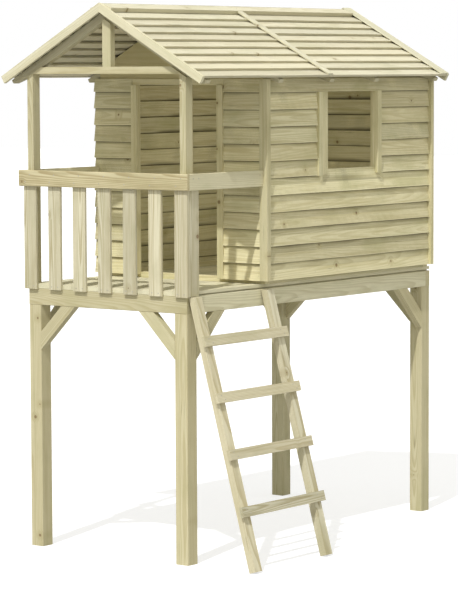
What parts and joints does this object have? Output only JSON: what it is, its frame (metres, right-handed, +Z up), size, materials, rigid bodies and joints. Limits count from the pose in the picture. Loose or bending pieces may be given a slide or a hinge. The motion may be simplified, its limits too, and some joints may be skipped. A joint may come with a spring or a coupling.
{
  "type": "stilt playhouse",
  "caption": "Small wooden playhouse with a veranda and a ridged roof, raised on braced stilts and reached by a leaning ladder.",
  "frame": {"origin": "on the ground, under the middle of the whole outline, ladder included", "axes": "+Z up, -Y towards the open veranda front, +X towards the ladder and the window wall"},
  "size_m": [1.8408, 2.565, 3.2546],
  "materials": {
    "framing": "planed, pressure-treated",
    "deck": "planed, grooved",
    "cladding": "sawn, pressure-treated",
    "roofing": "planed, pressure-treated",
    "trim": "planed, eased edges"
  },
  "bodies": {
    "root": {"stilt_front_left": "framing", "stilt_front_right": "framing", "stilt_rear_left": "framing", "stilt_rear_right": "framing", "rim_beam_front": "framing", "rim_beam_rear": "framing", "rim_beam_left": "framing", "rim_beam_right": "framing", "joist_1": "framing", "joist_2": "framing", "brace_across_front_left": "framing", "brace_across_front_right": "framing", "brace_across_rear_left": "framing", "brace_across_rear_right": "framing", "brace_along_front_left": "framing", "brace_along_front_right": "framing", "brace_along_rear_left": "framing", "brace_along_rear_right": "framing", "floor_boards": "deck", "front_wall": "cladding", "rear_wall": "cladding", "left_wall": "cladding", "right_wall": "cladding", "front_gable": "cladding", "rear_gable": "cladding", "veranda_post_left": "framing", "veranda_post_right": "framing", "gable_tie_beam": "framing", "king_post": "framing", "front_rail": "trim", "side_rail_left": "trim", "side_rail_right": "trim", "corner_board_left": "trim", "corner_board_right": "trim", "picket_1": "trim", "picket_2": "trim", "picket_3": "trim", "picket_4": "trim", "picket_5": "trim", "picket_6": "trim", "picket_7": "trim", "roof_panel_front_left": "roofing", "roof_panel_front_right": "roofing", "roof_panel_rear_left": "roofing", "roof_panel_rear_right": "roofing", "barge_board_front_left": "roofing", "barge_board_front_right": "roofing", "barge_board_rear_left": "roofing", "barge_board_rear_right": "roofing", "roof_cover_strip_left": "roofing", "roof_cover_strip_right": "roofing", "ladder_stringer_front": "trim", "ladder_stringer_rear": "trim", "ladder_rung_1": "trim", "ladder_rung_2": "trim", "ladder_rung_3": "trim", "ladder_rung_4": "trim"}
  },
  "joints": []
}
